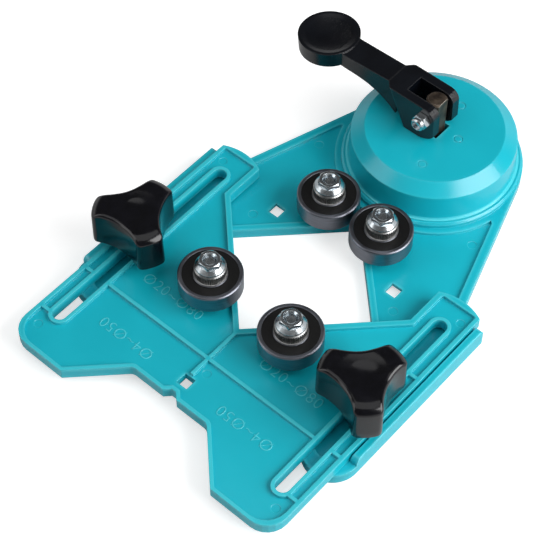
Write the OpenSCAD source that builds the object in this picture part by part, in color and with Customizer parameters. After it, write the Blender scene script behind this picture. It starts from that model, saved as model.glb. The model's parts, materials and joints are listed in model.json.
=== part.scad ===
// Drill guide for tiles: a base plate held by a lever suction cup, a second plate that slides
// on it, and four small ball bearings whose rims hold the drill between the two V notches.
// Millimetres, +Z up. Origin on the suction cup's axis, in the plane the guide stands on.
// The sliding plate lies towards -Y. The lever's pad points towards -X when the cup is locked.

/* [Base plate] */
// Full width over the two side rails
plate_w = 120.4; // [117.2:0.2:128]
// Thickness of the moulded rims the sliding plate rides on
base_rim_z = 4.3; // [4:0.1:4.6]
// Thickness of the recessed floor
floor_t = 3.2; // [2.8:0.1:3.4]
// Height of the side rails
rail_z = 7.5; // [6:0.1:8.5]
// Depth of the arms' round front ends, measured along the plate
arm_end_y = 125; // [122:0.5:128]
// Width of each arm
arm_w = 20; // [19:0.5:21]
// Where the tip of the base V notch lies
base_v_y = 40.2; // [39.8:0.1:41]
// Radius of the round rear end
rear_r = 32.6; // [32.4:0.1:34]
// Top of the raised seat round the dome
seat_z = 6.3; // [5.5:0.1:6.6]
// Radius of the mouth that the suction cup fills
cup_mouth_r = 27.6; // [27:0.1:28]

/* [Dome] */
// Height of the dome's flat top
dome_z = 20.4; // [19.6:0.1:21]
// Radius at the foot of the dome
dome_r = 30.3; // [29.8:0.1:30.8]
// Radius of the flat top
dome_top_r = 24.6; // [22:0.1:26]
// Wall thickness
dome_wall = 2.2; // [1.8:0.1:2.4]

/* [Suction cup and stem] */
// Radius of the stem
stem_r = 3.7; // [3.4:0.05:3.8]
// Height of the stem's top
stem_top_z = 35; // [34:0.1:36]
// How far the lever lets the stem down when it is raised
cup_lift = 4.2; // [3.8:0.1:4.4]

/* [Lever] */
// Height of the lever's pin
pin_z = 30.5; // [30:0.1:31]
// Radius of the pin
pin_r = 1.5; // [1.4:0.05:1.55]
// Half width of the forked head
head_hw = 7.2; // [6.8:0.1:7.6]
// Half width of the arm
arm_hw = 4.75; // [4.2:0.05:5.2]
// Distance from the pin to the middle of the finger pad
pad_x = 48.3; // [44:0.5:54]
// Radius of the finger pad
pad_r = 11.2; // [10:0.1:12.5]
// Thickness of the finger pad
pad_t = 5.9; // [5:0.1:6.4]

/* [Sliding plate] */
// Full width between the rails
slide_w = 114; // [110:0.5:114.4]
// Length position of the front edge
slide_front_y = 152.7; // [150:0.5:156]
// Thickness over the rims
slide_t = 4.5; // [4.2:0.1:4.6]
// Where the tip of the sliding V notch lies
slide_v_y = 102.7; // [102:0.1:103.5]
// Width of the two long slots
slot_w = 5.15; // [5.1:0.05:5.4]

/* [Bearings] */
// Outer radius of the bearings
brg_r = 11; // [10.8:0.1:11]
// Width of the bearings
brg_w = 7; // [6.8:0.1:7]
// Radius of the bearings' bore
brg_bore_r = 4; // [3.9:0.05:4.1]
// Radius of the balls
ball_r = 1.985; // [1.9:0.005:1.99]
// Underside of the two bearings on the base plate
base_brg_z = 8; // [7.5:0.1:8.4]
// Underside of the two bearings on the sliding plate
slide_brg_z = 11.7; // [11.2:0.1:12.2]

/* [Fasteners] */
// Side of the square holes
sq_hole = 4.3; // [4.25:0.05:4.6]
// Radius of the bearing bolts
bolt_r = 1.95; // [1.8:0.05:2]
// Radius of the clamp bolts
clamp_r = 2.45; // [2.3:0.05:2.48]
// Across the flats of the hexagon nuts
nut_af = 7; // [6.8:0.1:7.2]
// Across the flats of the lever bolt's nut
pin_af = 5.5; // [5.3:0.1:5.6]

/* [Clamp knobs] */
// Reach of the knobs' lobes
knob_r = 15.2; // [14:0.1:16.5]
// Height of the top of the knobs
knob_top_z = 28.8; // [26.5:0.1:29.5]
// Underside of the knobs' lobes
knob_low_z = 14; // [12:0.1:15]
// Turn of the left knob about its bolt, in degrees
knob_turn_left = -26.4; // [-60:0.5:60]
// Turn of the right knob about its bolt, in degrees
knob_turn_right = -44; // [-60:0.5:60]

/* [Hidden] */
$fn = 96;

teal = [0.10, 0.70, 0.78];
black = [0.06, 0.06, 0.07];
steel = [0.72, 0.73, 0.75];

hw = plate_w / 2;                  // half the plate's width
arm_in = hw - arm_w;               // inner side of an arm
arm_c = hw - arm_w / 2;            // middle of an arm
arm_cy = -(arm_end_y - arm_w / 2); // centre of an arm's round end
rail_in = slide_w / 2 + 0.6;       // inner face of a side rail
clamp_x = 48.75;                   // clamp bolts and slots
clamp_y = 25.7 - arm_end_y;
base_brg = [11.6, -43.5];          // bearing bolts, right-hand one of each pair
slide_brg = [17.45, -97.2];
spare_sq = [26.1, -54];            // spare square holes in the base
slide_sq = [0, 24.3 - slide_front_y]; // spare square hole in the sliding plate
stem_x = -0.4;                     // stem and lever pin
flat_x = 2.8;                      // distance of the stem's flat from its axis

slide_z0 = base_rim_z;
slide_z1 = slide_z0 + slide_t;
slide_floor = slide_z0 + floor_t;
head_r = 4.3;                      // bearing bolts' heads
clamp_head_r = 5.8;                // clamp bolts' heads
head_gap = 0.4;                    // round a head in its pocket
clamp_sq = 5.2;                    // side of the square holes of the clamp bolts
pocket_z = 1.8;                    // depth of the pockets

// Plane geometry

function unit(v) = v / norm(v);

// The corner between two offset edges: p is the outline, d the distance for each edge.
function edge_n(p, i) = let (a = p[i], b = p[(i + 1) % len(p)],
    u = unit([b[0] - a[0], b[1] - a[1]])) [-u[1], u[0]];
function inset_pt(p, d, i) = let (n = len(p), j = (i + n - 1) % n,
    n1 = edge_n(p, j), n2 = edge_n(p, i),
    c1 = n1[0] * p[i][0] + n1[1] * p[i][1] + d[j],
    c2 = n2[0] * p[i][0] + n2[1] * p[i][1] + d[i],
    det = n1[0] * n2[1] - n1[1] * n2[0])
    [(c1 * n2[1] - c2 * n1[1]) / det, (n1[0] * c2 - n2[0] * c1) / det, p[i][2]];
function inset(p, d) = [for (i = [0 : len(p) - 1]) inset_pt(p, d, i)];

// An outline with round corners: each point is [x, y, radius].
function corner(a, b, c, k) = b[2] == 0 ? [[b[0], b[1]]] :
    let (u = unit([a[0] - b[0], a[1] - b[1]]), v = unit([c[0] - b[0], c[1] - b[1]]),
        half = acos(u * v) / 2, m = unit(u + v), o = [b[0], b[1]] + m * b[2] / sin(half),
        s = [b[0], b[1]] + u * b[2] / tan(half) - o, t = [b[0], b[1]] + v * b[2] / tan(half) - o,
        a0 = atan2(s[1], s[0]), d0 = atan2(t[1], t[0]) - a0,
        d = d0 > 180 ? d0 - 360 : d0 < -180 ? d0 + 360 : d0)
    [for (i = [0 : k]) o + b[2] * [cos(a0 + d * i / k), sin(a0 + d * i / k)]];
function rounded(p, k = 6) = let (n = len(p))
    [for (i = [0 : n - 1]) for (q = corner(p[(i + n - 1) % n], p[i], p[(i + 1) % n], k)) q];

module slot2d(x, y0, y1, w) {
    translate([x - w / 2, y0 + w / 2]) square([w, y1 - y0 - w]);
    for (y = [y0 + w / 2, y1 - w / 2]) translate([x, y]) circle(w / 2);
}
module sides() { children(); mirror([1, 0, 0]) children(); }
module at(p, z = 0) { translate([p[0], p[1], z]) children(); }
module tube(ro, ri, z0, z1) {
    translate([0, 0, z0]) difference() {
        cylinder(r = ro, h = z1 - z0);
        translate([0, 0, -1]) cylinder(r = ri, h = z1 - z0 + 2);
    }
}

// Base plate

taper_n = [cos(17.9), sin(17.9)];  // the straight tapering side's normal
function taper_x(y, d) = (d - taper_n[1] * y) / taper_n[0];
shoulder_y = -49.5;

module base_outline() {
    circle(rear_r);
    polygon([[0, 10], [taper_x(10.1, rear_r), 10.1], [taper_x(shoulder_y, rear_r), shoulder_y],
        [hw, shoulder_y], [hw, arm_cy], [arm_in, arm_cy], [arm_in, -base_v_y - arm_in],
        [0, -base_v_y], [-arm_in, -base_v_y - arm_in], [-arm_in, arm_cy], [-hw, arm_cy],
        [-hw, shoulder_y], [-taper_x(shoulder_y, rear_r), shoulder_y],
        [-taper_x(10.1, rear_r), 10.1]]);
    sides() translate([arm_c, arm_cy]) circle(arm_w / 2);
}

tray_r = 34.5;                     // the tray's rear wall, round the dome's seat
rim = 2.2;
tray_side = rear_r - 3;            // the tray's tapering side wall
module base_tray() {
    v = base_v_y - 3.2;
    x1 = arm_in + rim;
    x2 = rail_in - rim;
    difference() {
        polygon(rounded([[0, -20, 0], [30, -9.5, 0], [taper_x(-8, tray_side), -8, 2.5],
            [taper_x(shoulder_y - rim, tray_side), shoulder_y - rim, 1.5],
            [x2, shoulder_y - rim, 1.5], [x2, arm_cy, 0], [(x1 + x2) / 2, arm_cy - 6.6, 5],
            [x1, arm_cy, 0], [x1, -v - x1, 2], [0, -v, 0], [-x1, -v - x1, 2], [-x1, arm_cy, 0],
            [-(x1 + x2) / 2, arm_cy - 6.6, 5], [-x2, arm_cy, 0], [-x2, shoulder_y - rim, 1.5],
            [-taper_x(shoulder_y - rim, tray_side), shoulder_y - rim, 1.5],
            [-taper_x(-8, tray_side), -8, 2.5], [-30, -9.5, 0]]));
        circle(tray_r);
    }
}

module base_plate() {
    color(teal) difference() {
        union() {
            linear_extrude(base_rim_z) base_outline();
            // round seat of the dome, its edge bevelled
            cylinder(r = rear_r - 0.4, h = seat_z - 0.7);
            translate([0, 0, seat_z - 0.8])
                cylinder(r1 = rear_r - 0.4, r2 = rear_r - 1.1, h = 0.8);
            // side rails, their top edges and ends rounded off
            sides() intersection() {
                translate([0, shoulder_y, 0]) rotate([90, 0, 0])
                    linear_extrude(shoulder_y - arm_cy)
                        polygon(rounded([[rail_in, 1, 0], [hw, 1, 0], [hw, rail_z, 0.5],
                            [rail_in, rail_z, 0.3]]));
                translate([rail_in - 1, 0, 0]) rotate([90, 0, 90])
                    linear_extrude(hw - rail_in + 2)
                        polygon(rounded([[arm_cy, 0, 0], [shoulder_y, 0, 0],
                            [shoulder_y, rail_z, 2], [arm_cy, rail_z, 2]]));
            }
        }
        difference() {
            translate([0, 0, floor_t]) linear_extrude(10) base_tray();
            // pads under the bearing spacers
            sides() at(base_brg) cylinder(r = 6, h = base_rim_z);
        }
        // mouth for the suction cup
        translate([0, 0, -1]) cylinder(r = cup_mouth_r, h = 10);
        // square holes and the pockets for the bolt heads below them
        sides() for (p = [base_brg, spare_sq]) {
            at(p, 4) cube([sq_hole, sq_hole, 12], center = true);
            at(p, -1) cylinder(r = head_r + head_gap, h = 1 + pocket_z);
        }
        sides() {
            at([clamp_x, clamp_y], 4) cube([clamp_sq, clamp_sq, 12], center = true);
            at([clamp_x, clamp_y], -1) cylinder(r = clamp_head_r + head_gap, h = 1 + pocket_z);
        }
        // faint round marks of the mould's ejector pins
        sides() for (p = [[34.4, -21.2], [31.3, -60.7]])
            at(p, floor_t - 0.12) cylinder(r = 1.6, h = 1);
    }
}

// Dome

stem_hole = 2 * stem_r + 0.3;      // side of the dome's opening for the stem
module dome_cover() {
    w = dome_wall;
    bevel_z = dome_z - 3.5;
    bevel_r = dome_r - 1;
    spigot_r = cup_mouth_r - 1.6;
    color(teal) difference() {
        union() {
            // wall with a flared foot, a bevel and a flat top
            rotate_extrude() polygon([[spigot_r, seat_z + 0.05], [dome_r + 0.5, seat_z + 0.05],
                [dome_r + 0.5, seat_z + 0.25], [dome_r, seat_z + 0.5], [dome_r - 0.35, seat_z + 1.1],
                [bevel_r, bevel_z], [dome_top_r, dome_z], [0, dome_z], [0, dome_z - w],
                [dome_top_r - 0.8, dome_z - w], [bevel_r - w, bevel_z - 0.8],
                [dome_r - 0.5 - w, seat_z + 4], [spigot_r, seat_z + 2]]);
            // spigot snapped into the seat
            difference() {
                translate([0, 0, 2.6]) cylinder(r = cup_mouth_r - 0.02, h = seat_z + 2 - 2.6);
                translate([0, 0, 1]) cylinder(r = spigot_r, h = 20);
            }
            // sleeve that guides the stem
            translate([stem_x, 0, 14]) cylinder(r = 6.2, h = dome_z - w - 14 + 0.5);
        }
        // square opening for the stem
        translate([stem_x, 0, dome_z]) cube([stem_hole, stem_hole, 40], center = true);
        for (p = [[9.4, 1], [0.8, 14], [7, -16.1]])
            at(p, dome_z - 0.12) difference() {
                cylinder(r = 1.7, h = 1);
                translate([0, 0, -1]) cylinder(r = 1.3, h = 3);
            }
    }
}

// Suction cup and its stem

plate_z = 6.2;                     // underside of the plate at the stem's foot
foot_r = 8;                        // radius of that plate
foot_t = 1.8;
module suction_cup() {
    r = cup_mouth_r - 1.9;
    boss_z = plate_z + 4.2;
    neck_r = stem_r + 1.3;
    color(black) difference() {
        rotate_extrude() polygon([[0, plate_z - 1.8], [foot_r + 1, plate_z - 2.1], [r - 9.7, 2.9],
            [r - 1.5, 0], [r - 0.2, 0], [r, 0.7], [r - 2, 2.2], [r - 7.7, 5.2],
            [foot_r + 4.5, plate_z + 1.4], [foot_r + 3, boss_z], [neck_r, boss_z],
            [neck_r, boss_z + 1.6], [0, boss_z + 1.6]]);
        translate([stem_x, 0, plate_z - 0.05]) cylinder(r = foot_r + 0.05, h = foot_t + 0.1);
        translate([stem_x, 0, plate_z]) cylinder(r = stem_r + 0.05, h = 20);
    }
}

flat_z = 13;                       // lower end of the stem's milled flat, above the cup's boss
module cup_stem() {
    color([0.42, 0.34, 0.27]) difference() {
        translate([stem_x, 0, 0]) union() {
            translate([0, 0, plate_z]) cylinder(r = foot_r, h = foot_t);
            rotate_extrude() polygon([[0, plate_z], [stem_r, plate_z], [stem_r, stem_top_z - 0.6],
                [stem_r - 0.7, stem_top_z], [0, stem_top_z]]);
        }
        translate([stem_x + flat_x, -10, flat_z]) cube([10, 20, 40]);
        translate([stem_x, 0, pin_z]) rotate([90, 0, 0])
            cylinder(r = pin_r + 0.05, h = 20, center = true);
    }
}

// Lever

// The foot is a cam: its distance from the pin shrinks evenly as the lever turns, so the stem
// goes down at a steady rate while the foot stays on the dome. Past cam_end degrees the foot is
// straight, which makes the cheeks' front, and stands clear of the dome.
h0 = pin_z - dome_z - 0.08;
cam_k = cup_lift / (PI / 2);
cam_end = 54;
function cam(t) = let (h = h0 - cam_k * t * PI / 180)
    [stem_x + h * sin(t) - cam_k * cos(t), pin_z - h * cos(t) - cam_k * sin(t)];

fork_hw = stem_r + 0.05;           // half width of the fork's slot
head_top = pin_z + 4.9;
pad_top = pin_z + 3.7;
pad_tilt = 3.5;
slant = 25.8;                      // the head's rear face leans back, in degrees
waist_x = 16.6;                    // from the pin to where the arm leaves the head
dish_edge = pad_r - 1.1;
dish_d = 1.5;
dish_r = (dish_edge * dish_edge + dish_d * dish_d) / (2 * dish_d);

module lever_head() {
    foot = pin_z - h0;
    intersection() {
        rotate([90, 0, 0]) linear_extrude(2 * head_hw + 2, center = true)
            polygon(concat([for (t = [0 : 9 : cam_end]) cam(t)],
                [[stem_x + 4.2, pin_z + 1.6], [stem_x + 3.9, pin_z + 2.7],
                [stem_x + 3.2, pin_z + 3.7], [stem_x + 2.1, pin_z + 4.5], [stem_x + 0.8, head_top],
                [stem_x - waist_x - 2, head_top], [stem_x - 12, foot]]));
        // round shoulders, leaning with the rear face
        translate([stem_x - waist_x - 0.9, 0, head_top]) rotate([0, -slant, 0])
            translate([0, 0, -40]) linear_extrude(60)
                polygon(rounded([[0, -arm_hw, 0], [2, -head_hw, 1.5], [60, -head_hw, 0],
                    [60, head_hw, 0], [2, head_hw, 1.5], [0, arm_hw, 0]]));
    }
}

// The arm falls a little and widens a little towards the pad, and deepens towards the head.
module lever_arm() {
    end_x = stem_x - pad_x + 6;
    end_hw = arm_hw + 0.35;
    intersection() {
        rotate([90, 0, 0]) linear_extrude(4 * arm_hw, center = true)
            polygon([[stem_x - 12, head_top - 0.05], [stem_x - waist_x, head_top - 0.05],
                [end_x, pad_top - 0.15], [end_x, pad_top - 5.5], [stem_x - 36, pin_z - 2.1],
                [stem_x - 31, pin_z - 2.2], [stem_x - 26.5, pin_z - 2.7],
                [stem_x - 22.5, pin_z - 3.8], [stem_x - 19, pin_z - 5.3],
                [stem_x - 16, pin_z - 7.2], [stem_x - 13.6, pin_z - 9]]);
        linear_extrude(60) polygon([[stem_x - 8, -arm_hw], [stem_x - 8, arm_hw],
            [stem_x - waist_x, arm_hw], [end_x - 1, end_hw], [end_x - 1, -end_hw],
            [stem_x - waist_x, -arm_hw]]);
    }
}

// A round pad, dished, with grip ribs left standing between fine grooves in the dish
module lever_pad() {
    pitch = 0.92;
    difference() {
        translate([0, 0, -pad_t]) cylinder(r1 = pad_r - 0.2, r2 = pad_r, h = pad_t);
        translate([0, 0, dish_r - dish_d]) sphere(dish_r);
        intersection() {
            translate([0, 0, dish_r - dish_d]) sphere(dish_r + 0.3);
            translate([0, 0, -pad_t / 2]) cylinder(r = dish_edge - 1.8, h = pad_t);
            for (i = [-8 : 8]) translate([i * pitch - 0.22, -pad_r, -pad_t / 2])
                cube([0.44, 2 * pad_r, pad_t]);
        }
    }
}

module lever() {
    color(black) difference() {
        union() {
            lever_head();
            difference() {
                lever_arm();
                translate([stem_x - pad_x, 0, 0]) cylinder(r = pad_r - 1.5, h = 60);
            }
            translate([stem_x - pad_x, 0, pad_top]) rotate([0, -pad_tilt, 0]) lever_pad();
        }
        // slot of the fork, open below and in front
        translate([stem_x - 10.1, -fork_hw, 0]) cube([40, 2 * fork_hw, 60]);
        translate([stem_x, 0, pin_z]) rotate([90, 0, 0])
            cylinder(r = pin_r + 0.05, h = 30, center = true);
    }
}

module hex(af, h) { cylinder(r = af / 2 / cos(30), h = h, $fn = 6); }

cheek = head_hw + 0.1;             // where the bolt's head and nut bear on the fork
pin_head_r = 2.8;
pin_head_h = 1.7;
pin_nut_h = 4;                     // height of the nut with its collar
pin_hex_h = 2.4;
pin_short = 0.9;                   // how far the bolt ends inside the nut

// Bolt with a low round head
module lever_pin() {
    bottom = -cheek - pin_head_h;
    end = cheek + pin_nut_h - pin_short;
    color(steel) translate([stem_x, 0, pin_z]) rotate([90, 0, 0])
        rotate_extrude() polygon([[0, bottom], [pin_head_r - 0.7, bottom],
            [pin_head_r, bottom + 0.7], [pin_head_r, -cheek], [pin_r, -cheek], [pin_r, end],
            [0, end]]);
}

// Locking nut: a round collar, which holds the locking ring, on a hexagon
module lever_nut() {
    collar = pin_af / 2 - 0.3;
    color(steel) translate([stem_x, 0, pin_z]) rotate([90, 0, 0])
        translate([0, 0, cheek]) difference() {
            union() {
                intersection() {
                    hex(pin_af, pin_hex_h);
                    rotate_extrude() polygon([[0, 0], [pin_af * 0.6, 0],
                        [pin_af * 0.6, pin_hex_h - 0.6], [pin_af / 2, pin_hex_h], [0, pin_hex_h]]);
                }
                rotate_extrude() polygon([[0, 0], [collar, 0], [collar, pin_nut_h - 0.5],
                    [collar - 0.5, pin_nut_h], [0, pin_nut_h]]);
            }
            translate([0, 0, -1]) cylinder(r = pin_r + 0.01, h = pin_nut_h + 2);
            translate([0, 0, pin_nut_h - pin_short]) cylinder(r = pin_r + 0.25, h = 1);
        }
}

// Sliding plate

shw = slide_w / 2;
leg_in = 39.9;                     // inner side of the sliding plate's legs
leg_y = -47.6;
module slide_outline() {
    polygon(rounded(slide_pts));
    // the legs' rear ends bulge out a little
    sides() intersection() {
        translate([leg_in, leg_y - 2]) square([shw - leg_in, 6]);
        translate([(leg_in + shw) / 2, leg_y + 2.1 - 18.25]) circle(18.25);
    }
}
notch_d = 16.5;                    // depth of the notch in the front edge
notch_x = 16.1;                    // half its width at the bottom
notch_y = notch_d - slide_front_y;
slide_pts = [[0.9, notch_y + 2.1, 0], [3, notch_y, 0], [notch_x, notch_y, 3],
    [notch_x + notch_d, -slide_front_y, 0.8], [shw, -slide_front_y, 8], [shw, leg_y, 0.6],
    [leg_in, leg_y, 0.6], [leg_in, leg_in - slide_v_y, 0], [0, -slide_v_y, 0],
    [-leg_in, leg_in - slide_v_y, 0], [-leg_in, leg_y, 0.6], [-shw, leg_y, 0.6],
    [-shw, -slide_front_y, 8], [-notch_x - notch_d, -slide_front_y, 0.8],
    [-notch_x, notch_y, 3], [-3, notch_y, 0], [-0.9, notch_y + 2.1, 0]];
slide_rims = [1.35, 1.35, 1.35, 1.3, 1.5, 0.3, 2, 2, 2, 2, 0.3, 1.5, 1.3, 1.35, 1.35, 1.35, 1.35];
rib_w = 1.2;
slot_y0 = 13.1 - slide_front_y;
slot_y1 = leg_y - 8.5;

module slide_plate() {
    color(teal) difference() {
        translate([0, 0, slide_z0 + 0.05]) linear_extrude(slide_t - 0.05) slide_outline();
        translate([0, 0, slide_floor]) linear_extrude(10) difference() {
            polygon(rounded(inset(slide_pts, slide_rims)));
            sides() slot2d(clamp_x, slot_y0 - 1.35, slot_y1 + 1.3, slot_w + 2.6);
            // thin ribs across the plate and down its middle
            translate([-shw, 34.3 - slide_front_y]) square([2 * shw, rib_w]);
            translate([-rib_w / 2, slide_sq[1] + 2.7])
                square([rib_w, -slide_v_y - slide_sq[1] - 0.7]);
            for (y = [slot_y0 + 0.6, -80]) sides() translate([clamp_x + 2, y]) square([8, rib_w]);
        }
        sides() translate([0, 0, -1]) linear_extrude(20) slot2d(clamp_x, slot_y0, slot_y1, slot_w);
        for (s = [-1, 1]) at([s * slide_brg[0], slide_brg[1]], 4)
            cube([sq_hole, sq_hole, 12], center = true);
        at(slide_sq, 4) cube([sq_hole, sq_hole, 12], center = true);
        sides() for (p = [[52.8, leg_y - 4.8], [51.9, 8.7 - slide_front_y]])
            at(p, slide_floor - 0.12) cylinder(r = 1.5, h = 1);
        at([3.2, slide_sq[1] + 6.4], slide_floor - 0.12) cylinder(r = 1.5, h = 1);
    }
}

// Bolts, spacers, bushes and nuts

// A bolt with a flat round head and a square neck; z is the underside of the head.
module neck_bolt(z, hr, ht, neck, neck_h, r, top) {
    rotate_extrude() polygon([[0, z], [hr - 0.8, z], [hr, z + 0.5], [hr, z + ht], [r, z + ht],
        [r, top - 0.4], [r - 0.4, top], [0, top]]);
    translate([-neck / 2, -neck / 2, z + ht]) cube([neck, neck, neck_h]);
}
stack = 3.9;                       // height of a bush's fluted collar
nut_h = 3.7;
bolt_sunk = 1.2;                   // how far the bolts end below the nuts' tops
clamp_top_z = knob_top_z - 4.6;    // end of the clamp bolts, blind in the knobs

module base_bearing_bolts() {
    color(steel) sides() at(base_brg)
        neck_bolt(0.2, head_r, pocket_z - 0.2, sq_hole - 0.2, 2, bolt_r,
            base_brg_z + brg_w + stack + nut_h - bolt_sunk);
}
module slide_bearing_bolts() {
    color(steel) for (s = [-1, 1]) at([s * slide_brg[0], slide_brg[1]])
        neck_bolt(slide_z0 + 0.05 - 1.6, head_r, 1.6, sq_hole - 0.2, 2.4, bolt_r,
            slide_brg_z + brg_w + stack + nut_h - bolt_sunk);
}
module clamp_bolts() {
    color(steel) sides() at([clamp_x, clamp_y])
        neck_bolt(0.2, clamp_head_r, pocket_z - 0.2, clamp_sq - 0.2, 2, clamp_r, clamp_top_z);
}

module spacer(z0, z1) { tube(5.4, sq_hole / 2 * 0.98, z0, z1); }
module base_spacers() { color(black) sides() at(base_brg) spacer(base_rim_z, base_brg_z); }
module slide_spacers() { color(black) sides() at(slide_brg) spacer(slide_floor, slide_brg_z); }

// Steel bush: a plain shank in the bearing's bore, a collar on top with flutes round it and a
// plain ring under them.
collar_r = 5.5;
ring_h = 0.5;
flutes = 44;
flute_w = 0.5;
module bush(z) {
    seat = z + brg_w;
    difference() {
        union() {
            translate([0, 0, z]) cylinder(r = brg_bore_r - 0.015, h = brg_w + 0.5);
            rotate_extrude() polygon([[0, seat], [collar_r + 0.1, seat], [collar_r + 0.25, seat + 0.15],
                [collar_r + 0.25, seat + ring_h - 0.1], [collar_r, seat + ring_h],
                [collar_r, seat + stack - 0.45], [collar_r - 0.45, seat + stack], [0, seat + stack]]);
        }
        for (i = [0 : flutes - 1]) rotate([0, 0, i * 360 / flutes])
            translate([collar_r + 0.08, 0, seat + ring_h]) rotate([0, 0, 45])
                translate([-flute_w / 2, -flute_w / 2, 0]) cube([flute_w, flute_w, stack]);
        translate([0, 0, z - 1]) cylinder(r = bolt_r + 0.05, h = 20);
    }
}
module base_bushes() { color(steel) sides() at(base_brg) bush(base_brg_z); }
module slide_bushes() { color(steel) sides() at(slide_brg) bush(slide_brg_z); }

// Flanged hexagon nut: a conical flange under the hexagon, the top corners turned round and the
// thread widely countersunk.
flange_r = 5;
module flange_nut(z) {
    translate([0, 0, z]) difference() {
        union() {
            rotate_extrude() polygon([[0, 0], [flange_r - 0.2, 0], [flange_r, 0.25],
                [flange_r, 0.6], [nut_af / 2 + 0.4, 2], [0, 2]]);
            intersection() {
                hex(nut_af, nut_h);
                rotate_extrude() polygon([[0, 0.5], [nut_af, 0.5], [nut_af * 0.6, nut_h - 0.6],
                    [nut_af / 2 - 0.1, nut_h], [0, nut_h]]);
            }
        }
        translate([0, 0, -1]) cylinder(r = bolt_r + 0.02, h = 10);
        translate([0, 0, nut_h - bolt_sunk]) cylinder(r1 = bolt_r, r2 = bolt_r + 0.6, h = bolt_sunk + 0.01);
    }
}
module base_nuts() { color(steel) sides() at(base_brg) flange_nut(base_brg_z + brg_w + stack); }
module slide_nuts() { color(steel) sides() at(slide_brg) flange_nut(slide_brg_z + brg_w + stack); }

// Ball bearings

mid_r = (brg_r + brg_bore_r) / 2;
groove_r = ball_r + 0.065;
inner_r = brg_bore_r + 1.9;
outer_in = brg_r - 2.1;
seal_r = brg_r - 1.45;
balls = 7;

module groove() { rotate_extrude() translate([mid_r, brg_w / 2]) circle(groove_r); }
module inner_ring(z) {
    translate([0, 0, z]) difference() {
        rotate_extrude() polygon([[brg_bore_r, 0.3], [brg_bore_r + 0.3, 0], [inner_r - 0.2, 0],
            [inner_r, 0.2], [inner_r, brg_w - 0.2], [inner_r - 0.2, brg_w],
            [brg_bore_r + 0.3, brg_w], [brg_bore_r, brg_w - 0.3]]);
        groove();
    }
}
module outer_ring(z) {
    color(steel) translate([0, 0, z]) difference() {
        rotate_extrude() polygon([[seal_r, 0], [brg_r - 0.4, 0], [brg_r, 0.4],
            [brg_r, brg_w - 0.4], [brg_r - 0.4, brg_w], [seal_r, brg_w], [seal_r, brg_w - 1.1],
            [outer_in, brg_w - 1.1], [outer_in, 1.1], [seal_r, 1.1]]);
        groove();
    }
}
module seals(z) {
    color(black) for (a = [0.15, brg_w - 1.05])
        tube(seal_r - 0.01, inner_r + 0.1, z + a, z + a + 0.9);
}
module cage(z) {
    color([0.62, 0.55, 0.4]) translate([0, 0, z + brg_w / 2]) difference() {
        tube(mid_r + 0.55, mid_r - 0.55, -2.35, 2.35);
        for (i = [0 : balls - 1]) rotate([0, 0, i * 360 / balls]) translate([mid_r - 2, 0, 0])
            rotate([0, 90, 0]) cylinder(r = ball_r + 0.1, h = 4);
    }
}
module ball_set(z) {
    color(steel) for (i = [0 : balls - 1]) rotate([0, 0, i * 360 / balls])
        translate([mid_r, 0, z + brg_w / 2]) sphere(ball_r);
}

bl = [-base_brg[0], base_brg[1]];
sl = [-slide_brg[0], slide_brg[1]];
module base_inner_rings() { color(steel) sides() at(base_brg) inner_ring(base_brg_z); }
module slide_inner_rings() { color(steel) sides() at(slide_brg) inner_ring(slide_brg_z); }
module outer_ring_base_left() { at(bl) outer_ring(base_brg_z); }
module outer_ring_base_right() { at(base_brg) outer_ring(base_brg_z); }
module outer_ring_slide_left() { at(sl) outer_ring(slide_brg_z); }
module outer_ring_slide_right() { at(slide_brg) outer_ring(slide_brg_z); }
module seals_base_left() { at(bl) seals(base_brg_z); }
module seals_base_right() { at(base_brg) seals(base_brg_z); }
module seals_slide_left() { at(sl) seals(slide_brg_z); }
module seals_slide_right() { at(slide_brg) seals(slide_brg_z); }
module cage_base_left() { at(bl) cage(base_brg_z); }
module cage_base_right() { at(base_brg) cage(base_brg_z); }
module cage_slide_left() { at(sl) cage(slide_brg_z); }
module cage_slide_right() { at(slide_brg) cage(slide_brg_z); }
module balls_base_left() { at(bl) ball_set(base_brg_z); }
module balls_base_right() { at(base_brg) ball_set(base_brg_z); }
module balls_slide_left() { at(sl) ball_set(slide_brg_z); }
module balls_slide_right() { at(slide_brg) ball_set(slide_brg_z); }

// Clamp knobs

washer_z = slide_z1 + 0.05;
insert_z = washer_z + 1.05;
insert_r = 4;
insert_top = clamp_top_z - 1.9;
module clamp_washer() { color(steel) tube(6.3, clamp_r + 0.1, washer_z, washer_z + 0.95); }
module knob_insert() {
    color([0.75, 0.6, 0.3])
        tube(insert_r - 0.02, clamp_r + 0.05, insert_z + 0.05, insert_top - 0.05);
}

// Plan of a three-lobed knob: round tips, round corners and hollow flanks. Each arc runs from
// where the one before it ends, with the same tangent.
flank_r = 20;
waist_r = 8.5;                     // how near the hollow flanks come to the axis
flank_d = flank_r + waist_r;
tip_c = 2;                         // radius of a lobe's corners
tip_d = knob_r - tip_c;
beta = acos((pow(tip_d, 2) + pow(flank_d, 2) - pow(flank_r + tip_c, 2)) / (2 * tip_d * flank_d));
gam = atan(tip_d * sin(beta) / (flank_d - tip_d * cos(beta)));
function polar(r, t) = r * [cos(t), sin(t)];
function arc(c, r, t0, t1, n) = [for (i = [1 : n]) c + polar(r, t0 + (t1 - t0) * i / n)];
function lobe(k) = concat(arc([0, 0], knob_r, k + beta - 60, k + 60 - beta, 8),
    arc(polar(tip_d, k + 60 - beta), tip_c, k + 60 - beta, k + 60 + gam, 6),
    arc(polar(flank_d, k + 60), flank_r, k + 240 + gam, k + 240 - gam, 14),
    arc(polar(tip_d, k + 60 + beta), tip_c, k + 60 - gam, k + 60 + beta, 6));
module knob_plan() { polygon(concat(lobe(0), lobe(120), lobe(240))); }
knob_dish_r = waist_r - 0.3;
knob_dish_d = 1.2;
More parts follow.
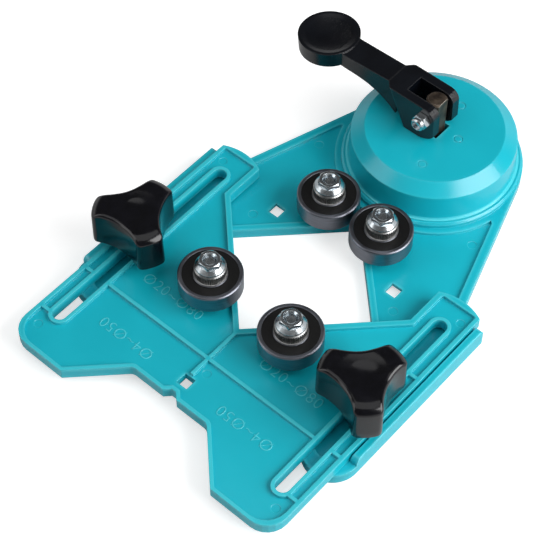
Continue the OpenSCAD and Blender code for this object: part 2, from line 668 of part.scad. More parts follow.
knob_ball = (knob_dish_r * knob_dish_r + knob_dish_d * knob_dish_d) / (2 * knob_dish_d);
module knob() {
    top = knob_top_z;
    hub_r = insert_r + 2.4;
    color(black) difference() {
        union() {
            intersection() {
                translate([0, 0, knob_low_z]) linear_extrude(top - knob_low_z) knob_plan();
                // the lobes' ends are bevelled above and rounded below
                rotate_extrude() polygon([[0, knob_low_z - 1], [knob_r - 1.5, knob_low_z - 1],
                    [knob_r + 1.5, knob_low_z + 2], [knob_r + 1.5, top - 3.8],
                    [knob_r - 2.2, top - 0.1], [knob_r - 5.5, top + 0.05], [0, top + 0.05]]);
            }
            translate([0, 0, insert_z]) cylinder(r = hub_r, h = knob_low_z - insert_z + 0.5);
        }
        translate([0, 0, top - knob_dish_d + knob_ball]) sphere(knob_ball);
        translate([0, 0, insert_z - 1]) cylinder(r = insert_r, h = insert_top - insert_z + 1);
        cylinder(r = clamp_r + 0.3, h = clamp_top_z + 0.4);
    }
}
module knob_left() { at([-clamp_x, clamp_y]) rotate([0, 0, knob_turn_left]) knob(); }
module knob_right() { at([clamp_x, clamp_y]) rotate([0, 0, knob_turn_right]) knob(); }
module knob_insert_left() { at([-clamp_x, clamp_y]) knob_insert(); }
module knob_insert_right() { at([clamp_x, clamp_y]) knob_insert(); }
module clamp_washer_left() { at([-clamp_x, clamp_y]) clamp_washer(); }
module clamp_washer_right() { at([clamp_x, clamp_y]) clamp_washer(); }

base_plate();
dome_cover();
suction_cup();
cup_stem();
lever();
lever_pin();
lever_nut();
slide_plate();
clamp_bolts();
clamp_washer_left();
clamp_washer_right();
knob_left();
knob_right();
knob_insert_left();
knob_insert_right();
base_bearing_bolts();
slide_bearing_bolts();
base_spacers();
slide_spacers();
base_bushes();
slide_bushes();
base_nuts();
slide_nuts();
base_inner_rings();
slide_inner_rings();
outer_ring_base_left();
outer_ring_base_right();
outer_ring_slide_left();
outer_ring_slide_right();
seals_base_left();
seals_base_right();
seals_slide_left();
seals_slide_right();
cage_base_left();
cage_base_right();
cage_slide_left();
cage_slide_right();
balls_base_left();
balls_base_right();
balls_slide_left();
balls_slide_right();
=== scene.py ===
# Drill guide for tiles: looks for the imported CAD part. Everything is in metres, in the row frame:
# origin on the suction cup's axis in the plane the guide stands on, +Z up, the sliding plate
# towards -Y. The sections follow the object as it is put together.
import json
import math

import bmesh
import bpy
import numpy as np
from mathutils import Matrix, Vector

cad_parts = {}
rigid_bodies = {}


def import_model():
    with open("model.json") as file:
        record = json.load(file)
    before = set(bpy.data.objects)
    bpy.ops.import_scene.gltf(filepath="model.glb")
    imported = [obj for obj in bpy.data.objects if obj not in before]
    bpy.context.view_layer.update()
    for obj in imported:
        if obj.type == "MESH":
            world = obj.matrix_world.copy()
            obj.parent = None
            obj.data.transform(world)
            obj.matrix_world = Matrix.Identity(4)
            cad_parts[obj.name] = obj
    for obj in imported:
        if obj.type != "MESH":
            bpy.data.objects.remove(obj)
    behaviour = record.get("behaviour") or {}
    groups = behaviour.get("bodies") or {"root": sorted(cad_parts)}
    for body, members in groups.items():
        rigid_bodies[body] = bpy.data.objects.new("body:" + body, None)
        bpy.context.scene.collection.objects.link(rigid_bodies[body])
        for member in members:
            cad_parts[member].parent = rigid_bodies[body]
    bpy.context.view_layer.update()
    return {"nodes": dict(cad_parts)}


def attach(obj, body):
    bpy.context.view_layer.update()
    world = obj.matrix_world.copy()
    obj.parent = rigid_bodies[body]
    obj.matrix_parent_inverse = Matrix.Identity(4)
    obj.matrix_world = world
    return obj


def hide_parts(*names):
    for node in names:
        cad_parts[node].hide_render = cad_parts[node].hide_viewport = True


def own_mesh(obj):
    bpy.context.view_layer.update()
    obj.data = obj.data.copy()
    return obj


for old in list(bpy.data.objects):
    bpy.data.objects.remove(old)
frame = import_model()
node = frame["nodes"]

# Camera. It stands where the photograph was taken: solved from the plates' straight edges, the
# slots and the bearings' rims. 41 degrees round from the front, 54 degrees above the tile.
eye = Vector((0.21020, -0.32740, 0.46350))
aim = Vector((-0.010026, -0.075985, 0.005))
cam_data = bpy.data.cameras.new("photo_view")
cam_data.lens = 111.56
cam_data.sensor_width = 36
cam_data.clip_start = 0.01
cam = bpy.data.objects.new("photo_view", cam_data)
cam.location = eye
cam.rotation_euler = (aim - eye).to_track_quat("-Z", "Y").to_euler()
bpy.context.scene.collection.objects.link(cam)
bpy.context.scene.camera = cam
bpy.context.scene.view_settings.view_transform = "Standard"


# Floor and light. A white sheet in a product studio with a dark ceiling. One soft box stands on
# the right and a little behind, a weaker one on the left in front, and a faint one overhead: the
# first two show as pale patches on the dome's bevel. Only the sheet and its sweep are white.
def linear(hexa):
    """An sRGB hex colour as linear RGBA."""
    c = np.array([int(hexa[i:i + 2], 16) / 255 for i in (0, 2, 4)])
    c = np.where(c <= 0.04045, c / 12.92, ((c + 0.055) / 1.055) ** 2.4)
    return (*c.tolist(), 1.0)


def add(tree, kind, links=(), **settings):
    """Adds a shader node. settings are its properties, or its inputs by name or index with i_
    in front; links are (this input, other node, other output)."""
    n = tree.nodes.new("ShaderNode" + kind)
    for key, value in settings.items():
        if key.startswith("i_"):
            name = key[2:]
            n.inputs[int(name) if name.isdigit() else name.replace("_", " ")].default_value = value
        else:
            setattr(n, key, value)
    for here, other, out in links:
        tree.links.new(other.outputs[out], n.inputs[here])
    return n


def new_material(name):
    mat = bpy.data.materials.new(name)
    mat.use_nodes = True
    mat.node_tree.nodes.clear()
    return mat, mat.node_tree


world = bpy.data.worlds.new("studio")
bpy.context.scene.world = world
world.use_nodes = True
wt = world.node_tree
wt.nodes.clear()
# what the camera sees is white; a reflection sees the sweep; all else gets a weak fill
w_path = add(wt, "LightPath")
w_shiny = add(wt, "Math", [(0, w_path, "Is Glossy Ray"), (1, w_path, "Is Transmission Ray")],
              operation="MAXIMUM")
w_dir = add(wt, "TexCoord")
w_xyz = add(wt, "SeparateXYZ", [(0, w_dir, "Generated")])
# in reflections the white sweep reaches to 10 degrees above the floor, and the ceiling is dark
w_sweep = add(wt, "MapRange", [(0, w_xyz, "Z")], i_1=0.12, i_2=0.36, i_3=0.9, i_4=0.09)
w_fill = add(wt, "Background", i_Color=(1, 1, 1, 1), i_Strength=0.15)
w_mirror = add(wt, "Background", [("Strength", w_sweep, 0)], i_Color=(1, 1, 1, 1))
w_white = add(wt, "Background", i_Color=(1, 1, 1, 1), i_Strength=1.0)
w_one = add(wt, "MixShader", [(0, w_shiny, 0), (1, w_fill, 0), (2, w_mirror, 0)])
w_all = add(wt, "MixShader", [(0, w_path, "Is Camera Ray"), (1, w_one, 0), (2, w_white, 0)])
add(wt, "OutputWorld", [(0, w_all, 0)])


def soft_box(name, azimuth, elevation, away, size, watts):
    """A rectangular lamp in a direction from the middle of the guide, turned to face it."""
    a, e = math.radians(azimuth), math.radians(elevation)
    middle = Vector((0, -0.06, 0))
    to = Vector((math.sin(a) * math.cos(e), -math.cos(a) * math.cos(e), math.sin(e)))
    lamp = bpy.data.lights.new(name, "AREA")
    lamp.shape = "RECTANGLE"
    lamp.size, lamp.size_y = size
    lamp.energy = watts
    o = bpy.data.objects.new(name, lamp)
    o.location = middle + to * away
    o.rotation_euler = (-to).to_track_quat("-Z", "Y").to_euler()
    bpy.context.scene.collection.objects.link(o)


soft_box("right_box", 105, 34, 0.85, (0.72, 0.64), 8.9)
soft_box("left_box", -43, 36, 1.0, (0.45, 1.0), 2.2)
soft_box("top_box", 30, 87, 1.0, (0.9, 0.9), 2.0)

floor_mat, ft = new_material("white_sheet")
f_path = add(ft, "LightPath")
f_paper = add(ft, "BsdfDiffuse", i_Color=(0.7, 0.7, 0.7, 1))
f_glow = add(ft, "Emission", i_Color=(1, 1, 1, 1), i_Strength=0.6)
f_both = add(ft, "AddShader", [(0, f_paper, 0), (1, f_glow, 0)])
f_mix = add(ft, "MixShader", [(0, f_path, "Is Camera Ray"), (1, f_paper, 0), (2, f_both, 0)])
add(ft, "OutputMaterial", [(0, f_mix, 0)])
# the sheet reaches 3 m each way and lies 0.2 mm below the guide
floor_half, floor_z = 3, -0.0002
floor_mesh = bpy.data.meshes.new("floor")
floor_mesh.from_pydata([(x * floor_half, y * floor_half, floor_z)
                        for x, y in ((-1, -1), (1, -1), (1, 1), (-1, 1))], [], [(0, 1, 2, 3)])
floor = bpy.data.objects.new("floor", floor_mesh)
floor.data.materials.append(floor_mat)
bpy.context.scene.collection.objects.link(floor)


# Base plate and dome. Glossy turquoise ABS, injection moulded in polished tools. The eye sees an
# even colour with soft gloss, edges rounded by about 0.4 mm that catch a light line, a very
# faint flow shading some 30 mm across and a fine moulding grain.
def dress(names, mat):
    """Gives CAD nodes a material in place of their own."""
    for n in names:
        node[n].data.materials.clear()
        node[n].data.materials.append(mat)


abs_mat, t = new_material("moulded_turquoise_abs")
pos = add(t, "TexCoord")
flow = add(t, "TexNoise", [("Vector", pos, "Object")], i_Scale=33.0, i_Detail=3.0)
tone = add(t, "ValToRGB", [("Fac", flow, "Fac")])
tone.color_ramp.elements[0].position = 0.3
tone.color_ramp.elements[0].color = linear("11AFC1")
tone.color_ramp.elements[1].position = 0.72
tone.color_ramp.elements[1].color = linear("16B8CA")
# the real grain is about 0.05 mm; drawn at 0.35 mm so that it shows as a slight unevenness
grain = add(t, "TexNoise", [("Vector", pos, "Object")], i_Scale=2800.0, i_Detail=2.0)
edge = add(t, "Bevel", samples=6, i_Radius=0.0004)
bump = add(t, "Bump", [("Height", grain, "Fac"), ("Normal", edge, 0)], i_Strength=0.05,
           i_Distance=0.0002)
# thin rims and ribs are painted paler: a painted glow that stands in for the light the thin
# plastic lets through there; rays sent into the plastic from the surface come out again
# within 1.4 mm there
thin = add(t, "AmbientOcclusion", samples=8, inside=True, only_local=True, i_Distance=0.0014)
painted_rim_glow = add(t, "MapRange", [(0, thin, "AO")], i_1=0.95, i_2=0.35, i_3=0.0, i_4=0.55)
tone_with_painted_glow = add(t, "Mix", [("Factor", painted_rim_glow, 0), (6, tone, "Color")], data_type="RGBA",
           i_7=linear("5FE3EC"))
gloss = add(t, "MapRange", [(0, flow, "Fac")], i_3=0.17, i_4=0.26)
surf = add(t, "BsdfPrincipled", [("Base Color", tone_with_painted_glow, 2), ("Normal", bump, 0),
           ("Roughness", gloss, 0)], i_IOR=1.54)
add(t, "OutputMaterial", [(0, surf, 0)])
dress(["base_plate", "dome_cover"], abs_mat)


# Suction cup. One moulding of soft black rubber round the stem's foot plate, as smooth as its
# mould, with a thin lip that lies on the tile.
def surface(name, rings, mat):
    """A closed surface from rings of points, shape (rings, points round, 3). Neighbouring rings
    are joined by quads; the first and the last ring each close on a pole, their mean point.
    Seen from outside, a ring's points run anticlockwise about the direction of travel."""
    m, n, _ = rings.shape
    co = np.vstack([rings.reshape(-1, 3), rings[0].mean(0), rings[-1].mean(0)])
    i = (np.arange(m - 1)[:, None] * n + np.arange(n)).ravel()
    j = (np.arange(m - 1)[:, None] * n + np.roll(np.arange(n), -1)).ravel()
    quads = np.stack([i, j, j + n, i + n], 1)
    k, k1 = np.arange(n), np.roll(np.arange(n), -1)
    low = np.stack([np.full(n, m * n), k1, k], 1)
    high = np.stack([np.full(n, m * n + 1), k + (m - 1) * n, k1 + (m - 1) * n], 1)
    mesh = bpy.data.meshes.new(name)
    mesh.from_pydata(co, [], [*quads.tolist(), *low.tolist(), *high.tolist()])
    mesh.shade_smooth()
    mesh.set_sharp_from_angle(angle=math.radians(38))
    mesh.materials.append(mat)
    o = bpy.data.objects.new(name, mesh)
    bpy.context.scene.collection.objects.link(o)
    return o


def curve(points, per=6):
    """A smooth line through points: for each span a cubic whose slope at a point is half the
    step between its neighbours. per is the count of steps a span."""
    p = np.array(points, float)
    q = np.vstack([2 * p[0] - p[1], p, 2 * p[-1] - p[-2]])
    u = np.linspace(0, 1, per, endpoint=False)[None, :, None]
    a, b, c, d = (q[k:k + len(p) - 1, None] for k in range(4))
    s = 0.5 * (2 * b + (c - a) * u + (2 * a - 5 * b + 4 * c - d) * u ** 2
               + (3 * b - a - 3 * c + d) * u ** 3)
    return np.vstack([s.reshape(-1, p.shape[1]), p[-1:]])


def turned(profile, centre_x, n=128):
    """Rings of a turned shape: each profile point (r, z) goes round the axis at centre_x."""
    a = np.linspace(0, 2 * np.pi, n, endpoint=False)
    r, z = profile[:, 0:1], profile[:, 1:2]
    return np.stack([centre_x[:, None] + r * np.cos(a), r * np.sin(a), z + 0 * a], -1)


rubber_mat, t = new_material("moulded_black_rubber")
pos = add(t, "TexCoord")
dust = add(t, "TexNoise", [("Vector", pos, "Object")], i_Scale=400.0, i_Detail=4.0)
tone = add(t, "ValToRGB", [("Fac", dust, "Fac")])
tone.color_ramp.elements[0].position = 0.35
tone.color_ramp.elements[0].color = linear("0D0D0E")
tone.color_ramp.elements[1].position = 0.8
tone.color_ramp.elements[1].color = linear("1A1A1B")
dull = add(t, "MapRange", [(0, dust, "Fac")], i_3=0.42, i_4=0.62)
bump = add(t, "Bump", [("Height", dust, "Fac")], i_Strength=0.08, i_Distance=0.0002)
surf = add(t, "BsdfPrincipled", [("Base Color", tone, "Color"), ("Roughness", dull, 0),
           ("Normal", bump, 0)], i_IOR=1.52)
add(t, "OutputMaterial", [(0, surf, 0)])

cup_r = 0.0257
cup_top = 0.012
stem_shift = -0.0004                    # the stem's axis lies this far to the side of the cup's
below = curve([(0.0005, 0.0044), (0.009, 0.0041), (0.016, 0.0029), (cup_r - 0.0015, 0.0001)])
lip = curve([(cup_r - 0.0002, 0.0), (cup_r, 0.0007), (cup_r - 0.002, 0.0022), (0.018, 0.0052),
             (0.0125, 0.0076), (0.011, 0.0100)])
neck = np.array([(0.0105, 0.0104), (0.005, 0.0104), (0.005, 0.0117), (0.0047, cup_top)])
socket = np.array([(0.00375, cup_top), (0.00375, 0.0081), (0.00805, 0.0081), (0.00805, 0.00615),
                   (0.0005, 0.00615)])
profile = np.vstack([below, lip, neck, socket])
shift = np.where(np.arange(len(profile)) >= len(profile) - len(socket), stem_shift, 0.0)
cup = surface("cup_rubber", turned(profile, shift), rubber_mat)
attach(cup, "base")
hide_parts("suction_cup")
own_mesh(cup)

# Stem. A turned steel rod with one milled flat, browned by heat and oil: a warm dull brown with
# darker blotches a few millimetres wide and bright steel where its edges have rubbed bare.
stem_mat, t = new_material("browned_turned_steel")
pos = add(t, "TexCoord")
blotch = add(t, "TexNoise", [("Vector", pos, "Object")], i_Scale=350.0, i_Detail=5.0)
tone = add(t, "ValToRGB", [("Fac", blotch, "Fac")])
tone.color_ramp.elements[0].position = 0.35
tone.color_ramp.elements[0].color = linear("3B332D")
tone.color_ramp.elements[1].position = 0.7
tone.color_ramp.elements[1].color = linear("6E6154")
edge = add(t, "Bevel", samples=6, i_Radius=0.00035)
flat = add(t, "NewGeometry")
same = add(t, "VectorMath", [(0, edge, 0), (1, flat, "Normal")], operation="DOT_PRODUCT")
worn = add(t, "MapRange", [(0, same, "Value")], i_1=0.97, i_2=0.80, i_3=0.0, i_4=0.85)
bare = add(t, "Mix", [("Factor", worn, 0), (6, tone, "Color")], data_type="RGBA",
           i_7=linear("D8D2C8"))
dull = add(t, "MapRange", [(0, blotch, "Fac")], i_3=0.38, i_4=0.58)
bump = add(t, "Bump", [("Height", blotch, "Fac"), ("Normal", edge, 0)], i_Strength=0.1,
           i_Distance=0.0001)
surf = add(t, "BsdfPrincipled", [("Base Color", bare, 2), ("Roughness", dull, 0),
           ("Normal", bump, 0)], i_Metallic=0.8)
add(t, "OutputMaterial", [(0, surf, 0)])
dress(["cup_stem"], stem_mat)

# Lever. Glass-filled black nylon, moulded with a spark-eroded finish: satin, slightly blue
# black, with softly rounded edges that show as thin grey lines, and grip ribs in its pad.
nylon_mat, t = new_material("moulded_black_nylon")
pos = add(t, "TexCoord")
cloud = add(t, "TexNoise", [("Vector", pos, "Object")], i_Scale=120.0, i_Detail=3.0)
tone = add(t, "ValToRGB", [("Fac", cloud, "Fac")])
tone.color_ramp.elements[0].position = 0.3
tone.color_ramp.elements[0].color = linear("06080E")
tone.color_ramp.elements[1].position = 0.8
tone.color_ramp.elements[1].color = linear("0B0F16")
# eroded grain of 0.1 mm, drawn at 0.3 mm
grain = add(t, "TexNoise", [("Vector", pos, "Object")], i_Scale=3300.0, i_Detail=2.0)
# edges are rounded by 0.4 mm, but inside the pad's rim the fine grip ribs stay crisp
from_pad = add(t, "VectorMath", [(0, pos, "Object")], i_1=(-0.0487, 0.0, 0.0342),
               operation="DISTANCE")
soft = add(t, "MapRange", [(0, from_pad, "Value")], i_1=0.0090, i_2=0.0096, i_3=0.00003,
           i_4=0.0004)
edge = add(t, "Bevel", [("Radius", soft, 0)], samples=6)
bump = add(t, "Bump", [("Height", grain, "Fac"), ("Normal", edge, 0)], i_Strength=0.12,
           i_Distance=0.0002)
gloss = add(t, "MapRange", [(0, cloud, "Fac")], i_3=0.17, i_4=0.26)
surf = add(t, "BsdfPrincipled", [("Base Color", tone, "Color"), ("Roughness", gloss, 0),
           ("Normal", bump, 0)], i_IOR=1.53)
add(t, "OutputMaterial", [(0, surf, 0)])
dress(["lever"], nylon_mat)

# The lever's bolt and locking nut, and every other nut, bolt and washer: steel, cold formed
# and bright zinc plated. Near-mirror with a cool tint and very fine unevenness.
zinc_mat, t = new_material("bright_zinc_plated_steel")
pos = add(t, "TexCoord")
film = add(t, "TexNoise", [("Vector", pos, "Object")], i_Scale=500.0, i_Detail=4.0)
tone = add(t, "ValToRGB", [("Fac", film, "Fac")])
tone.color_ramp.elements[0].position = 0.3
tone.color_ramp.elements[0].color = linear("B2BBC1")
tone.color_ramp.elements[1].position = 0.75
tone.color_ramp.elements[1].color = linear("D4D8DA")
edge = add(t, "Bevel", samples=4, i_Radius=0.00018)
bump = add(t, "Bump", [("Height", film, "Fac"), ("Normal", edge, 0)], i_Strength=0.12,
           i_Distance=0.0001)
gloss = add(t, "MapRange", [(0, film, "Fac")], i_3=0.15, i_4=0.28)
surf = add(t, "BsdfPrincipled", [("Base Color", tone, "Color"), ("Roughness", gloss, 0),
           ("Normal", bump, 0)], i_Metallic=1.0)
add(t, "OutputMaterial", [(0, surf, 0)])
dress(["lever_pin", "lever_nut"], zinc_mat)

# Sliding plate. The same turquoise ABS. The diameters that each pair of bearing places serves
# are raised by 0.12 mm in the floor: one pair of figures reads from the front, one from behind.
dress(["slide_plate"], abs_mat)
figure_size = 0.0058
figure_z = 0.0075
figures = []
for words, y, turn in (("Ø20~Ø80", -0.1070, 0.0), ("Ø4~Ø50", -0.1290, math.pi)):
    for side in (-1, 1):
        text = bpy.data.curves.new("figure", "FONT")
        text.body = words
        text.size = figure_size
        text.space_character = 1.08
        text.offset = -0.00008
        text.extrude = 0.0001
        text.align_x, text.align_y = "CENTER", "CENTER"
        holder = bpy.data.objects.new("figure", text)
        bpy.context.scene.collection.objects.link(holder)
        flat_mesh = bpy.data.meshes.new_from_object(
            holder.evaluated_get(bpy.context.evaluated_depsgraph_get()))
        flat_mesh.transform(Matrix.Translation((side * 0.026, y, figure_z + 0.00002))
                            @ Matrix.Rotation(turn, 4, "Z"))
        bpy.data.objects.remove(holder)
        figures.append(flat_mesh)
bm = bmesh.new()
for part in figures:
    bm.from_mesh(part)
bmesh.ops.remove_doubles(bm, verts=bm.verts, dist=1e-6)
bmesh.ops.recalc_face_normals(bm, faces=bm.faces)
figure_mesh = bpy.data.meshes.new("slide_figures")
bm.to_mesh(figure_mesh)
bm.free()
figure_mesh.materials.clear()
figure_mesh.materials.append(abs_mat)
slide_figures = bpy.data.objects.new("slide_figures", figure_mesh)
bpy.context.scene.collection.objects.link(slide_figures)
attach(slide_figures, "slider")

# Bearing bolts, spacers, bushes and nuts. Bolts and flanged nuts are bright zinc plated; the
# bushes' collars are fluted by rolling, which leaves a duller, greyer steel. The spacers under
# the bearings are black plastic, matt and a little grey.
dress(["base_bearing_bolts", "slide_bearing_bolts", "base_nuts", "slide_nuts"], zinc_mat)
rolled_mat, t = new_material("rolled_fluted_steel")
pos = add(t, "TexCoord")
wear = add(t, "TexNoise", [("Vector", pos, "Object")], i_Scale=900.0, i_Detail=3.0)
tone = add(t, "ValToRGB", [("Fac", wear, "Fac")])
tone.color_ramp.elements[0].position = 0.3
tone.color_ramp.elements[0].color = linear("7D7F80")
tone.color_ramp.elements[1].position = 0.75
tone.color_ramp.elements[1].color = linear("B4B4B2")
dull = add(t, "MapRange", [(0, wear, "Fac")], i_3=0.3, i_4=0.42)
surf = add(t, "BsdfPrincipled", [("Base Color", tone, "Color"), ("Roughness", dull, 0)],
           i_Metallic=1.0)
add(t, "OutputMaterial", [(0, surf, 0)])
dress(["base_bushes", "slide_bushes"], rolled_mat)
spacer_mat, t = new_material("moulded_matt_black_plastic")
pos = add(t, "TexCoord")
cloud = add(t, "TexNoise", [("Vector", pos, "Object")], i_Scale=900.0, i_Detail=3.0)
tone = add(t, "ValToRGB", [("Fac", cloud, "Fac")])
tone.color_ramp.elements[0].color = linear("121314")
tone.color_ramp.elements[1].color = linear("222324")
dull = add(t, "MapRange", [(0, cloud, "Fac")], i_3=0.5, i_4=0.7)
surf = add(t, "BsdfPrincipled", [("Base Color", tone, "Color"), ("Roughness", dull, 0)],
           i_IOR=1.5)
add(t, "OutputMaterial", [(0, surf, 0)])
dress(["base_spacers", "slide_spacers"], spacer_mat)

# Ball bearings. Rings of hardened bearing steel, ground: dark grey mirrors with fine lines
# round them. Black nitrile seals, a pressed steel cage and polished balls inside.
ring_mat, t = new_material("ground_bearing_steel")
pos = add(t, "TexCoord")
# grinding lines 0.02 mm apart, drawn 0.15 mm apart; they run round, so they change with z only
lines_at = add(t, "Mapping", [("Vector", pos, "Object")], i_Scale=(150.0, 150.0, 7000.0))
lines = add(t, "TexNoise", [("Vector", lines_at, 0)], i_Scale=1.0, i_Detail=2.0)
tone = add(t, "ValToRGB", [("Fac", lines, "Fac")])
tone.color_ramp.elements[0].position = 0.3
tone.color_ramp.elements[0].color = linear("6C6E76")
tone.color_ramp.elements[1].position = 0.75
tone.color_ramp.elements[1].color = linear("8A8D96")
edge = add(t, "Bevel", samples=6, i_Radius=0.0005)
bump = add(t, "Bump", [("Height", lines, "Fac"), ("Normal", edge, 0)], i_Strength=0.06,
           i_Distance=0.0001)
gloss = add(t, "MapRange", [(0, lines, "Fac")], i_3=0.28, i_4=0.4)
surf = add(t, "BsdfPrincipled", [("Base Color", tone, "Color"), ("Roughness", gloss, 0),
           ("Normal", bump, 0)], i_Metallic=1.0)
add(t, "OutputMaterial", [(0, surf, 0)])
places = ["base_left", "base_right", "slide_left", "slide_right"]
dress(["base_inner_rings", "slide_inner_rings", *("outer_ring_" + p for p in places)], ring_mat)

seal_mat, t = new_material("moulded_nitrile_seal")
pos = add(t, "TexCoord")
dust = add(t, "TexNoise", [("Vector", pos, "Object")], i_Scale=1500.0, i_Detail=4.0)
tone = add(t, "ValToRGB", [("Fac", dust, "Fac")])
tone.color_ramp.elements[0].position = 0.45
tone.color_ramp.elements[0].color = linear("040405")
tone.color_ramp.elements[1].position = 0.85
tone.color_ramp.elements[1].color = linear("141313")
bump = add(t, "Bump", [("Height", dust, "Fac")], i_Strength=0.12, i_Distance=0.0001)
surf = add(t, "BsdfPrincipled", [("Base Color", tone, "Color"), ("Normal", bump, 0)],
           i_Roughness=0.36, i_IOR=1.5)
add(t, "OutputMaterial", [(0, surf, 0)])
dress(["seals_" + p for p in places], seal_mat)

cage_mat, t = new_material("pressed_cage_steel")
pos = add(t, "TexCoord")
rolled = add(t, "TexNoise", [("Vector", pos, "Object")], i_Scale=900.0, i_Detail=3.0)
tone = add(t, "ValToRGB", [("Fac", rolled, "Fac")])
tone.color_ramp.elements[0].color = linear("9A968C")
tone.color_ramp.elements[1].color = linear("B4B0A4")
surf = add(t, "BsdfPrincipled", [("Base Color", tone, "Color")], i_Roughness=0.35,
           i_Metallic=1.0)
add(t, "OutputMaterial", [(0, surf, 0)])
dress(["cage_" + p for p in places], cage_mat)

ball_mat, t = new_material("polished_ball_steel")
pos = add(t, "TexCoord")
haze = add(t, "TexNoise", [("Vector", pos, "Object")], i_Scale=600.0, i_Detail=2.0)
gloss = add(t, "MapRange", [(0, haze, "Fac")], i_3=0.05, i_4=0.12)
surf = add(t, "BsdfPrincipled", [("Roughness", gloss, 0)], i_Metallic=1.0,
           i_Base_Color=linear("CFCFD2"))
add(t, "OutputMaterial", [(0, surf, 0)])
dress(["balls_" + p for p in places], ball_mat)

# Clamp bolts, washers and the turned brass inserts that are moulded into the knobs.
dress(["clamp_bolts", "clamp_washer_left", "clamp_washer_right"], zinc_mat)
brass_mat, t = new_material("turned_brass")
pos = add(t, "TexCoord")
tarnish = add(t, "TexNoise", [("Vector", pos, "Object")], i_Scale=300.0, i_Detail=3.0)
tone = add(t, "ValToRGB", [("Fac", tarnish, "Fac")])
tone.color_ramp.elements[0].color = linear("B08D45")
tone.color_ramp.elements[1].color = linear("D0B060")
surf = add(t, "BsdfPrincipled", [("Base Color", tone, "Color")], i_Roughness=0.28,
           i_Metallic=1.0)
add(t, "OutputMaterial", [(0, surf, 0)])
dress(["knob_insert_left", "knob_insert_right"], brass_mat)

# Knobs. Three-lobed, moulded in glossy black plastic in a polished tool: deep black with clear
# soft reflections, faint handling marks, flanks with draft and edges rounded by 1.4 mm.
gloss_mat, t = new_material("moulded_glossy_black_plastic")
pos = add(t, "TexCoord")
marks = add(t, "TexNoise", [("Vector", pos, "Object")], i_Scale=220.0, i_Detail=6.0,
            i_Roughness=0.65)
tone = add(t, "ValToRGB", [("Fac", marks, "Fac")])
tone.color_ramp.elements[0].position = 0.4
tone.color_ramp.elements[0].color = linear("07070B")
tone.color_ramp.elements[1].position = 0.9
tone.color_ramp.elements[1].color = linear("0F0F17")
gloss = add(t, "MapRange", [(0, marks, "Fac")], i_1=0.35, i_2=0.75, i_3=0.12, i_4=0.22)
bump = add(t, "Bump", [("Height", marks, "Fac")], i_Strength=0.03, i_Distance=0.0002)
surf = add(t, "BsdfPrincipled", [("Base Color", tone, "Color"), ("Roughness", gloss, 0),
           ("Normal", bump, 0)], i_IOR=1.5)
add(t, "OutputMaterial", [(0, surf, 0)])


def arc(centre, r, start, end, n):
    """Points on an arc about a point, from the first angle to the last, in degrees."""
    a = np.radians(np.linspace(start, end, n + 1)[1:])
    return np.stack([centre[0] + r * np.cos(a), centre[1] + r * np.sin(a)], 1)


def lobed_plan(reach, flank_r, flank_d, corner):
    """A three-lobed outline. Each lobe ends in an arc about the axis; round corners lead into
    hollow flanks, whose circles lie outside at flank_d. All arcs meet with the same tangent."""
    tip = reach - corner
    far = flank_r + corner
    beta = math.acos((tip ** 2 + flank_d ** 2 - far ** 2) / (2 * tip * flank_d))
    gam = math.degrees(math.atan(tip * math.sin(beta) / (flank_d - tip * math.cos(beta))))
    beta = math.degrees(beta)

    def polar(r, a):
        return r * math.cos(math.radians(a)), r * math.sin(math.radians(a))
    parts = []
    for k in (0, 120, 240):
        parts += [arc((0, 0), reach, k + beta - 60, k + 60 - beta, 10),
                  arc(polar(tip, k + 60 - beta), corner, k + 60 - beta, k + 60 + gam, 10),
                  arc(polar(flank_d, k + 60), flank_r, k + 240 + gam, k + 240 - gam, 24),
                  arc(polar(tip, k + 60 + beta), corner, k + 60 - gam, k + 60 + beta, 10)]
    return np.vstack(parts)


knob_top, knob_low, knob_foot = 0.0288, 0.014, 0.0099
knob_x, knob_y = 0.04875, -0.0993
fall_from, fall_r = 0.0108, 0.0046      # the lobes' ends fall away in an arc from here
dish_r, dish_d = 0.0082, 0.0006         # a wide shallow dish
cup_r2, cup_d2 = 0.0046, 0.0003         # and a smaller one in its middle
edge_r = 0.0014
draft = 0.0002
foot_edge = 0.0006                      # rounding of the lobes' lower edge
bore_r, bore_end = 0.00275, 0.0246      # room for the bolt
insert_r, insert_end = 0.004, 0.0223    # seat of the brass insert
hub_r, hub_edge = 0.0064, 0.0003
pole_r = 0.0005                         # the smallest ring, next to a pole


def knob_height(r):
    """Height of the knob's top at a distance from its axis: two ball-shaped dishes in each
    other's middle, a flat ring, and an arc that falls ever steeper over the lobes' ends."""
    z = np.full(np.shape(r), knob_top)
    for rad, deep in ((dish_r, dish_d), (cup_r2, cup_d2)):
        ball = (rad ** 2 + deep ** 2) / (2 * deep)
        z = z - deep + ball - np.sqrt(ball ** 2 - np.minimum(r, rad) ** 2)
    over = np.clip(r - fall_from, 0, 0.98 * fall_r)
    return z - fall_r + np.sqrt(fall_r ** 2 - over ** 2)


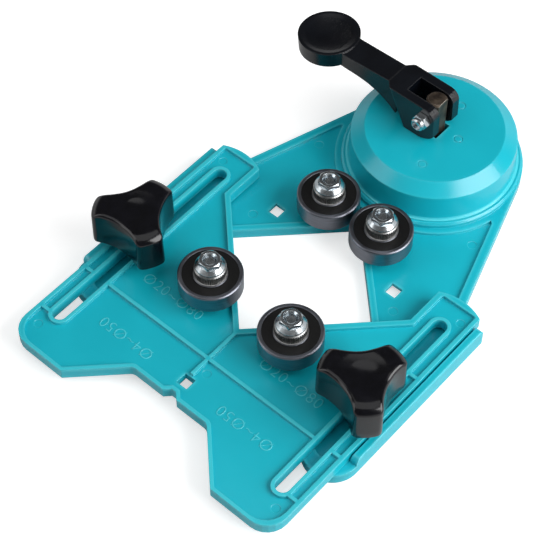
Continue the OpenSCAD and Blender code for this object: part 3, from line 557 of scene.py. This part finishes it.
def knob_rings():
    """Rings of a knob: hub and bore below, walls that widen downwards by the draft,
    a quarter-round edge, and the top drawn in to the middle."""
    plan = lobed_plan(0.0148, 0.0200, 0.0285, 0.0020)
    step = np.roll(plan, -1, 0) - np.roll(plan, 1, 0)
    out = np.stack([step[:, 1], -step[:, 0]], 1) / np.linalg.norm(step, axis=1)[:, None]
    around = plan / np.linalg.norm(plan, axis=1)[:, None]

    def ring(xy, z):
        return np.column_stack([xy, z + np.zeros(len(xy))])
    # the edge's arc starts at the angle at which the top arrives
    lean = np.zeros((len(plan), 1))
    for _ in range(4):
        inner = plan - out * edge_r * (1 - np.sin(lean))
        r = np.linalg.norm(inner, axis=1)
        rise = (knob_height(r + 1e-5) - knob_height(r - 1e-5)) / 2e-5
        lean = np.arctan(-rise * (inner / r[:, None] * out).sum(1))[:, None]
    side_top = knob_height(r) - edge_r * np.cos(lean[:, 0])
    rings = [ring(around * r, z) for r, z in
             ((pole_r, bore_end), (bore_r, bore_end), (bore_r, insert_end), (insert_r, insert_end),
              (insert_r, knob_foot), (hub_r - hub_edge, knob_foot), (hub_r, knob_foot + hub_edge),
              (hub_r, knob_low))]
    foot = plan + out * draft
    rings += [ring(around * hub_r + (foot - out * foot_edge - around * hub_r) * k, knob_low)
              for k in (0.35, 0.7)]
    for a in np.radians([0, 22, 45, 67, 90]):
        rings.append(ring(foot - out * foot_edge * (1 - np.sin(a)),
                          knob_low + foot_edge * (1 - np.cos(a))))
    for k in (0.25, 0.5, 0.75):
        z = (knob_low + foot_edge) * (1 - k) + side_top * k
        rings.append(ring(plan + out * draft * (1 - k), z))
    for k in np.linspace(0, 1, 8):
        a = np.pi / 2 + (lean - np.pi / 2) * k
        rings.append(ring(plan - out * edge_r * (1 - np.sin(a)),
                          side_top + edge_r * np.cos(a[:, 0])))
    for k in np.linspace(0.97, 0.03, 22):
        rings.append(ring(inner * k, knob_height(np.linalg.norm(inner * k, axis=1))))
    return np.stack(rings)


for side, name, turn in ((-1, "left", -26.4), (1, "right", -44.0)):
    rings = knob_rings()
    a = math.radians(turn)
    x, y = rings[..., 0].copy(), rings[..., 1].copy()
    rings[..., 0] = x * math.cos(a) - y * math.sin(a) + side * knob_x
    rings[..., 1] = x * math.sin(a) + y * math.cos(a) + knob_y
    knob = surface("knob_" + name + "_moulded", rings, gloss_mat)
    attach(knob, name + "_knob")
    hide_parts("knob_" + name)
